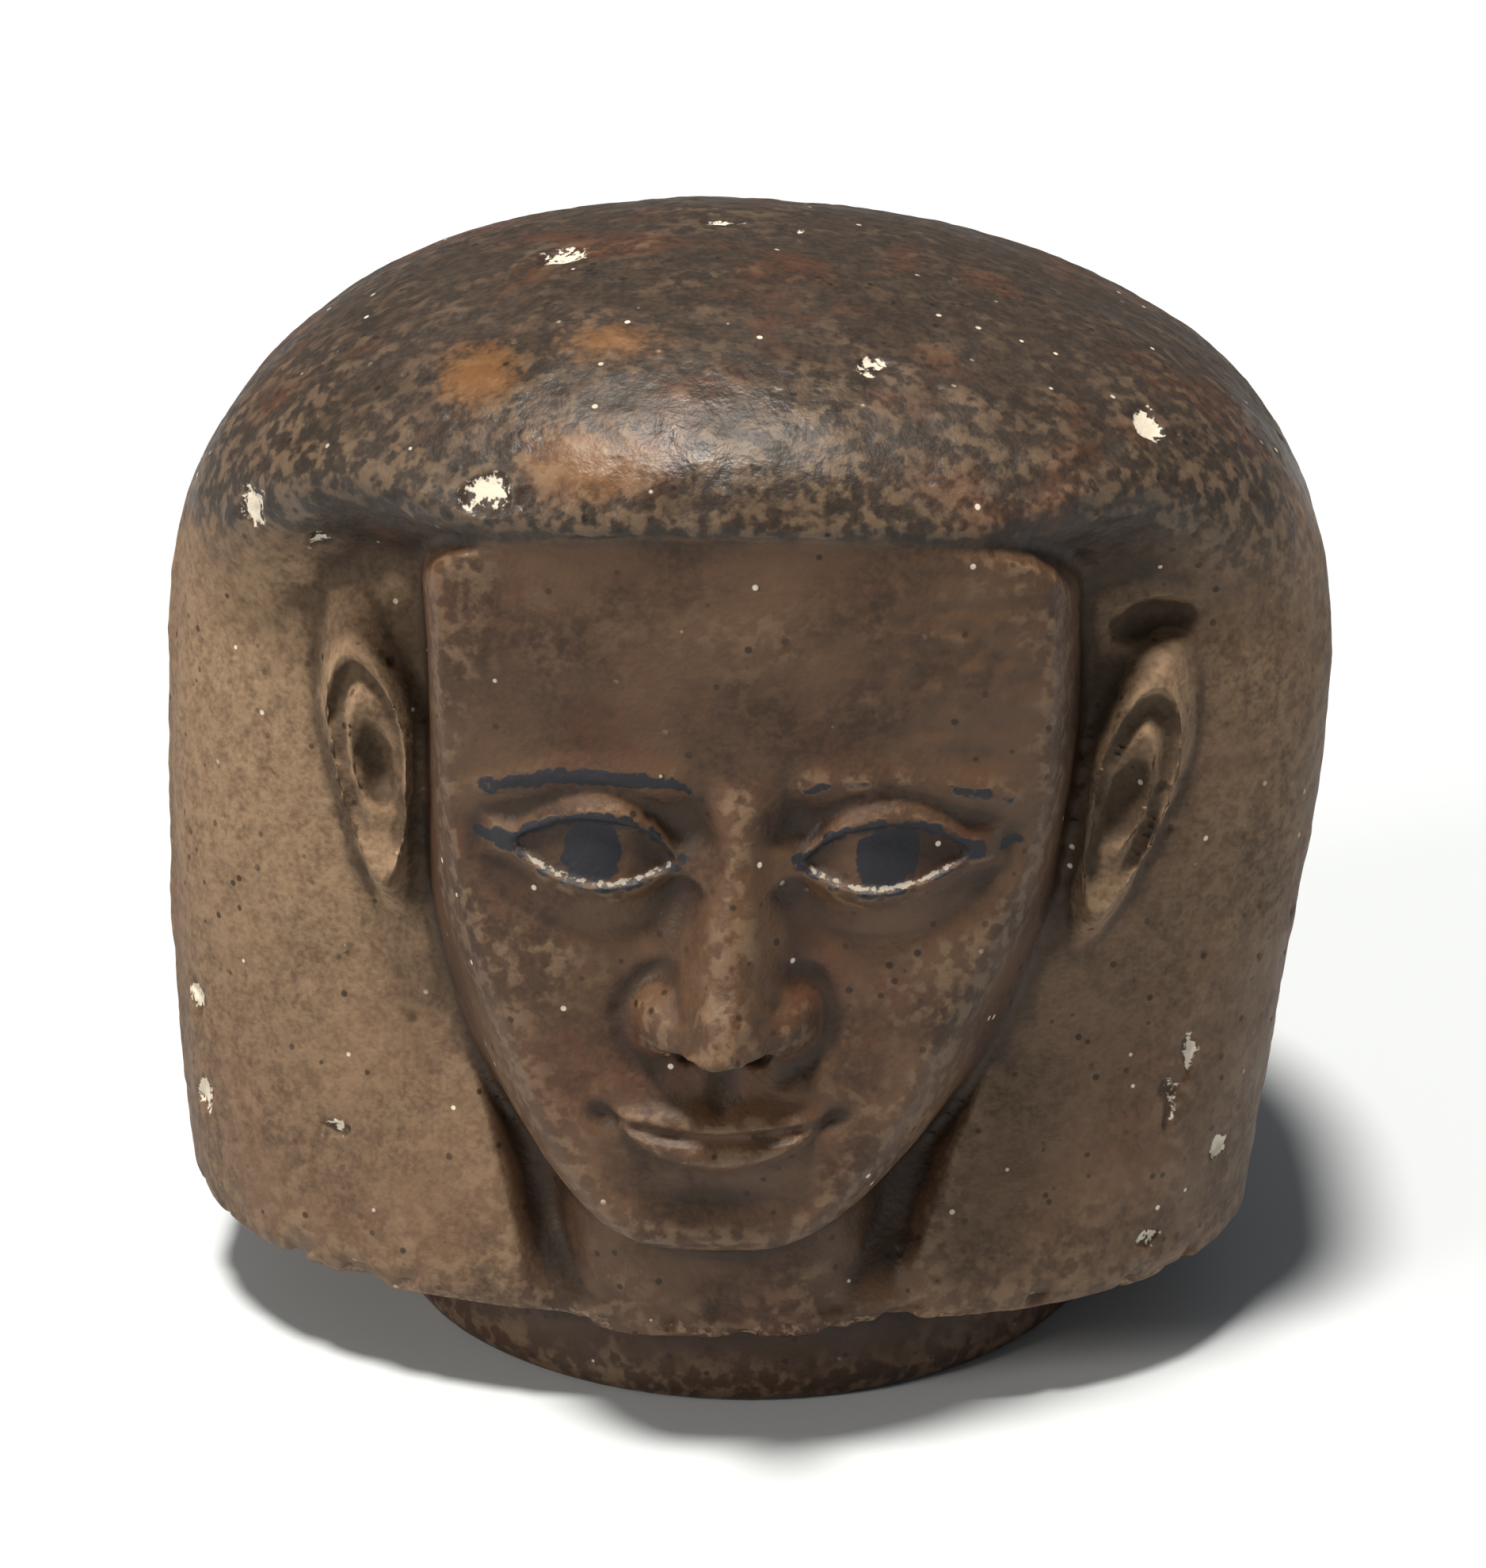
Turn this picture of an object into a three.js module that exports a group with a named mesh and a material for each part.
// Lid of an Egyptian canopic jar: a human head in a plain bag wig, carved with its plug from one block.
// Millimetres, +Z up. The face looks along -Y. The plug's flat underside lies on z = 0, with the origin in
// its middle.
import * as THREE from "three";
import { ParametricGeometry } from "three/addons/geometries/ParametricGeometry.js";

const { clamp, lerp, smoothstep, degToRad } = THREE.MathUtils;

// The block.
const HEIGHT = 136;
const WIDTH = 140;

// The plug that drops into the mouth of the jar. The flat shoulder round it rests on the jar's rim.
const PLUG_RADIUS = 47;
const PLUG_HEIGHT = 12;
const PLUG_ROUNDING = 3;

// The wig: a rounded square in plan about an axis in front of the plug's, widest well above half height.
const AXIS_FORWARD = 7;
const WIDEST_LEVEL = 76;
const SQUARENESS = 2.8; // exponent of the plan at the widest level, where 2 would be an ellipse
const RIM_SQUARENESS = 2.4;
const RIM_HALF_WIDTH = 66.5;
const BACK_RIM_DEPTH = 64;
const BACK_DEPTH = 70;
const SHOULDER_POWER = 3.2; // the wig closes over the crown as an ellipse would with 2 here and 1/2 below
const CLOSING_POWER = 0.55;
const RIM_ROUNDING = 4;

// Beside the face the front of the wig hangs in two flat lappets, which flare a little to the rim.
const RIM_DEPTH = 43; // from the wig's axis forward
const FLAT_DEPTH = 37;
const FRONT_SKEW = 0.03; // the viewer's right side of the front is carved a little deeper than the left
const RECESS_DEPTH = 4; // of the hollows between the jaw, the neck and the lappets

// The crown stands out over the forehead in a thick front edge, which dies away softly over the ears.
const HAIRLINE = 113;
const HAIRLINE_DROP = 4; // how much lower the hairline ends, at the temples
const FRINGE_DEPTH = 56;
const FRINGE_LEVEL = 104;
const LEDGE_SOFTNESS = 0.8; // how sharply the front edge drops to the forehead
const CORNER_ROUNDING = 9; // of the forehead's upper corners, under the wig

// Levels of the face, in equal thirds from the hairline to the chin.
const CHIN_LEVEL = 24;
const THIRD = (HAIRLINE - CHIN_LEVEL) / 3;
const NOSE_LEVEL = CHIN_LEVEL + THIRD;
const BROW_LEVEL = CHIN_LEVEL + 2 * THIRD;
const MOUTH_LEVEL = NOSE_LEVEL - THIRD / 3;
const EYE_LEVEL = BROW_LEVEL - THIRD / 4;

// Half-widths. The face is five eyes wide, less a little for the Egyptian canon's long eyes.
const FACE_HALF = 37.5;
const FACE_SHIFT = 2; // towards the viewer's right, from the middle of the wig
const FACE_DEPTH = 52.5;
const NECK_HALF = 21;
const NECK_DEPTH = 45;
const EYE_CENTRE = 0.43 * FACE_HALF;
const EYE_HALF = 0.24 * FACE_HALF;

// The ears lie on the flat of the wig. The viewer's left one is carved a little higher.
const EAR_CENTRE = FACE_HALF + 5.5;
const EAR_SLANT = 0.16; // how far an ear's foot turns in to the jaw, for each millimetre down
const EAR_LEVEL = 79;
const EAR_OFFSET = 1;
const EAR_HALF_HEIGHT = 17;
const EAR_HALF_WIDTH = 6;
const EAR_THICKNESS = 4.5;

// Density of the surface. A column of the lattice follows each side of the face, down to the neck.
const FACE_COLUMNS = 32;
const SIDE_COLUMNS = 22;
const SIDE_CROWDING = 2; // 1 would space the columns evenly from the face round to the back
const COLUMNS = FACE_COLUMNS + 2 * SIDE_COLUMNS;
const FACE_ROWS = 46;
const CROWN_ROWS = 8;

const bump = (distance, width) => Math.exp(-((distance / width) ** 2));
const smoothMax = (a, b, softness) => (a + b + Math.hypot(a - b, softness)) / 2;

// A smooth hump that is 1 in the middle of an oval and 0 from its edge outwards.
const hump = (across, up) => Math.max(0, 1 - across * across - up * up) ** 1.5;

// A half-size of the wig: it grows from the rim to the widest level and closes to nothing at the crown.
function swell(z, rimSize, size, widestLevel) {
  if (z < widestLevel) {
    const below = (widestLevel - z) / (widestLevel - PLUG_HEIGHT);
    return size - (size - rimSize) * below ** 2;
  }
  const above = Math.min(1, (z - widestLevel) / (HEIGHT - widestLevel));
  return size * (1 - above ** SHOULDER_POWER) ** CLOSING_POWER;
}

// The block isn't true: against its plug it leans to the viewer's left at the rim and again at the crown.
const lean = (z) => 1 * bump(z - 88, 20) - 3 * bump(z - 20, 42) - 3.6 * bump(z - HEIGHT, 12);

function rimInset(z) {
  const below = clamp((PLUG_HEIGHT + RIM_ROUNDING - z) / RIM_ROUNDING, 0, 1);
  return RIM_ROUNDING * (1 - Math.sqrt(1 - below * below));
}

// Half the distance between the lappets: they hang from the sides of the face in to the neck.
const lappetHalf = (z) => lerp(NECK_HALF + 2, FACE_HALF, smoothstep(z, 14, 74));

// The plain wig at a level: its plan is a superellipse, with a front and a back of different depths.
function wigPlan(z) {
  const below = (WIDEST_LEVEL - z) / (WIDEST_LEVEL - PLUG_HEIGHT);
  const upper = lerp(2, SQUARENESS, bump(z - WIDEST_LEVEL, 42));
  return {
    halfWidth: swell(z, RIM_HALF_WIDTH, WIDTH / 2, WIDEST_LEVEL),
    frontDepth: swell(z, FRINGE_DEPTH, FRINGE_DEPTH, FRINGE_LEVEL),
    backDepth: swell(z, BACK_RIM_DEPTH, BACK_DEPTH, WIDEST_LEVEL),
    squareness: below > 0 ? lerp(SQUARENESS, RIM_SQUARENESS, below) : upper,
  };
}

// A point of the plain wig about its own axis, at an angle from straight forward.
function wigReach(angle, z) {
  const { halfWidth, frontDepth, backDepth, squareness } = wigPlan(z);
  if (halfWidth < 1e-6) return { right: 0, forward: 0 };
  const right = Math.sin(angle);
  const forward = Math.cos(angle);
  const depth = forward > 0 ? frontDepth : backDepth;
  const fill = Math.abs(right / halfWidth) ** squareness + Math.abs(forward / depth) ** squareness;
  const radius = Math.max(0, fill ** (-1 / squareness) - rimInset(z));
  return { right: radius * right, forward: radius * forward };
}

// The angle at which a side of the face stands, for a column of the lattice to follow. Side -1 is the
// viewer's left.
function faceAngle(side, z) {
  const { halfWidth, frontDepth, squareness } = wigPlan(Math.min(z, HAIRLINE));
  const across = lappetHalf(z) + side * FACE_SHIFT;
  const forward = frontDepth * (1 - (across / halfWidth) ** squareness) ** (1 / squareness);
  return Math.atan2(across, forward);
}

// Half the width of the face: an egg, which closes a little below the chin.
function jawHalf(z) {
  const below = clamp((EYE_LEVEL - z) / (EYE_LEVEL - CHIN_LEVEL + 4), 0, 1);
  return Math.max(1, FACE_HALF * (1 - below ** 2.2) ** 0.6);
}

// 0 at an edge, rising along an arc to 1 at the given distance inside it.
function roundedEdge(inside, distance) {
  const share = clamp(inside / distance, 0, 1);
  return share * (2 - share);
}

// Forward reach of the bare face: full at forehead, mouth and chin, steep at the temples and round at the jaw.
function faceReach(x, z, ground) {
  const forehead = 2 * smoothstep(z, EYE_LEVEL, HAIRLINE - 8);
  const muzzle = 2 * bump(z - MOUTH_LEVEL, 11) + 2 * bump(z - CHIN_LEVEL - 7, 8);
  const cheeks = 1.2 * bump(Math.abs(x) - 22, 9) * bump(z - NOSE_LEVEL - 9, 11);
  const front = FACE_DEPTH + forehead + muzzle + cheeks - 0.0045 * x * x;
  const rounding = lerp(12, 4.5, smoothstep(z, NOSE_LEVEL - 6, BROW_LEVEL + 4));
  const edge = roundedEdge(jawHalf(z) - Math.abs(x), rounding) * roundedEdge(z - CHIN_LEVEL + 3, 10);
  return lerp(ground - 2, front, edge);
}

// Each eye is a ball in a shallow socket, under an arched brow.
function eyeRelief(x, z) {
  const across = Math.abs(x) - EYE_CENTRE;
  const socket = -2.6 * bump(across - 3, 10) * bump(z - EYE_LEVEL, 7);
  const inner = -3 * bump(Math.abs(x) - 7.5, 5) * bump(z - EYE_LEVEL - 1, 7);
  const ball = 3.9 * hump(across / (EYE_HALF + 4), (z - EYE_LEVEL) / 9.5);
  const arch = BROW_LEVEL + 1.5 - 0.012 * (Math.abs(x) - 14) ** 2;
  const browEnds = smoothstep(Math.abs(x), 4, 8) * (1 - smoothstep(Math.abs(x), 26, 33));
  return socket + inner + ball + 1.3 * bump(z - arch, 2.6) * browEnds;
}

// The nose rises and widens from the brow to its tip, between two wings.
function noseRelief(x, z) {
  const top = BROW_LEVEL + 4;
  const down = clamp((top - z) / (top - NOSE_LEVEL), 0, 1.2);
  const under = smoothstep(z, NOSE_LEVEL - 2, NOSE_LEVEL + 2.5);
  const height = 2.2 * smoothstep(down, 0, 0.2) + 9.3 * down ** 1.3;
  const ridge = height * Math.exp(-(Math.abs(x / (4.4 + 2.6 * down ** 2)) ** 2.6)) * under;
  const tip = 2.2 * hump(x / 6, (z - NOSE_LEVEL - 4.5) / 6);
  const wing = 5 * hump((Math.abs(x) - 6.4) / 4.6, (z - NOSE_LEVEL - 3.6) / 5.2);
  return smoothMax(ridge + tip, wing, 2) - 1;
}

// Two lips that turn up a little at the corners, and the hollow under them.
function mouthRelief(x, z) {
  const reach = 1 - smoothstep(Math.abs(x), 8, 14);
  const up = z - MOUTH_LEVEL - 0.008 * x * x;
  const lips = 2 * bump(up - 2, 2) + 2.4 * bump(up + 2.6, 2.4);
  return lips * reach - 1.4 * bump(up + 8.6, 2.8) * bump(x, 9);
}

// A rounded ear, slanting with the jaw, with a hollow inside its fold.
function earRelief(x, z) {
  const level = EAR_LEVEL - Math.sign(x) * EAR_OFFSET;
  const across = (Math.abs(x) - EAR_CENTRE - EAR_SLANT * (z - level)) / EAR_HALF_WIDTH;
  const up = (z - level) / EAR_HALF_HEIGHT;
  const widening = across * (1 + 0.45 * Math.max(0, 0.3 - up)); // the ear narrows towards the lobe
  const ear = 1 - smoothstep(Math.hypot(widening, up), 0.65, 1.25);
  return EAR_THICKNESS * ear - 2 * hump(widening / 0.75, (up - 0.15) / 0.75);
}

// Distance inside the forehead's outline, whose upper corners are round. The jaw rounds off by itself.
function insideFace(x, z) {
  const side = FACE_HALF - Math.abs(x);
  const top = HAIRLINE - HAIRLINE_DROP * (x / FACE_HALF) ** 2 - z;
  const beyond = Math.hypot(Math.min(side - CORNER_ROUNDING, 0), Math.min(top - CORNER_ROUNDING, 0));
  return Math.min(side, top, CORNER_ROUNDING - beyond);
}

// Forward reach of the neck, an upright column under the chin.
const neckReach = (x) => NECK_DEPTH - 12 * (x / NECK_HALF) ** 4;

// Forward reach of what the face and the neck stand out from: the lappets, and the hollows between them.
function groundReach(x, z, flat) {
  const between = smoothstep(lappetHalf(z) - Math.abs(x), -0.5, 3);
  const aboveRim = smoothstep(z, PLUG_HEIGHT + 1, CHIN_LEVEL + 2);
  const belowEars = 1 - smoothstep(z, EAR_LEVEL - 25, EAR_LEVEL - 5);
  return flat - RECESS_DEPTH * between * aboveRim * belowEars;
}

// Forward reach of the finished front where the crown, carried straight down, would reach crownForward.
function carvedReach(right, z, crownForward) {
  const x = right - FACE_SHIFT;
  const beside = smoothstep(Math.abs(x), 24, 44);
  const flatDepth = lerp(RIM_DEPTH, FLAT_DEPTH, smoothstep(z, PLUG_HEIGHT, NOSE_LEVEL));
  const flat = crownForward * (flatDepth / FRINGE_DEPTH) + FRONT_SKEW * right;
  const ground = groundReach(x, z, flat);
  const sweepTop = HAIRLINE + lerp(1.5, 5, beside);
  const sweepHeight = lerp(16, 30, smoothstep(Math.abs(x), 40, 66));
  const wig = lerp(ground, crownForward, smoothstep(z, sweepTop - sweepHeight, sweepTop));
  const face = faceReach(x, z, ground) + eyeRelief(x, z) + noseRelief(x, z) + mouthRelief(x, z);
  const carved = smoothMax(smoothMax(face, neckReach(x), 1.5), ground, 0.8);
  return lerp(wig, carved, smoothstep(insideFace(x, z), -LEDGE_SOFTNESS, LEDGE_SOFTNESS)) + earRelief(x, z);
}

function wigPoint(angle, z) {
  const { right, forward } = wigReach(angle, z);
  const front = smoothstep(forward, 4, 20);
  const reach = front > 0 ? lerp(forward, carvedReach(right, z, forward), front) : forward;
  return new THREE.Vector3(right + lean(z), -reach - AXIS_FORWARD, z);
}

// Rows of the surface, from the middle of the plug's underside up to the crown. A row of the plug has a
// radius about the plug's axis, and the others follow the wig. The shoulder lies between the two.
function surfaceRows() {
  const flat = PLUG_RADIUS - PLUG_ROUNDING;
  const rows = [0, 0.6 * flat].map((radius) => ({ z: 0, radius }));
  for (const turn of [0, 30, 60, 90].map(degToRad)) {
    rows.push({ z: PLUG_ROUNDING * (1 - Math.cos(turn)), radius: flat + PLUG_ROUNDING * Math.sin(turn) });
  }
  rows.push({ z: PLUG_HEIGHT, radius: PLUG_RADIUS });
  const rimTop = PLUG_HEIGHT + RIM_ROUNDING;
  for (const rise of [0, 0.12, 0.45]) rows.push({ z: lerp(PLUG_HEIGHT, rimTop, rise) });
  const crownStart = HAIRLINE + 4;
  for (let i = 0; i <= FACE_ROWS; i++) rows.push({ z: lerp(rimTop, crownStart, i / FACE_ROWS) });
  for (let i = 1; i <= CROWN_ROWS; i++) {
    const turn = ((i / CROWN_ROWS) * Math.PI) / 2;
    rows.push({ z: lerp(crownStart, HEIGHT, Math.sin(turn)) });
  }
  return rows;
}

// The angle of a column. The first runs up the middle of the back, and the rest go round from there by the
// viewer's left.
function columnAngle(column, z) {
  const fromFront = (column % COLUMNS) - COLUMNS / 2;
  const side = Math.sign(fromFront);
  const edge = faceAngle(side, z);
  const beyond = Math.abs(fromFront) - FACE_COLUMNS / 2;
  if (beyond < 0) return (edge * fromFront) / (FACE_COLUMNS / 2);
  return side * lerp(edge, Math.PI, (beyond / SIDE_COLUMNS) ** SIDE_CROWDING);
}

function lidGeometry() {
  const rows = surfaceRows();
  const last = rows.length - 1;
  const surface = (u, v, target) => {
    const { z, radius } = rows[Math.round(v * last)];
    const angle = columnAngle(Math.round(u * COLUMNS), Math.max(z, PLUG_HEIGHT)); // upright on the plug
    const onPlug = radius !== undefined;
    if (onPlug) target.set(radius * Math.sin(angle), -radius * Math.cos(angle), z);
    else target.copy(wigPoint(angle, z));
  };
  return new ParametricGeometry(surface, COLUMNS, last);
}

const stone = new THREE.MeshStandardMaterial({ color: 0x6a5040, roughness: 0.7, metalness: 0 });
const lid = new THREE.Mesh(lidGeometry(), stone);
lid.name = "jar_lid";

const group = new THREE.Group();
group.add(lid);
export default group;
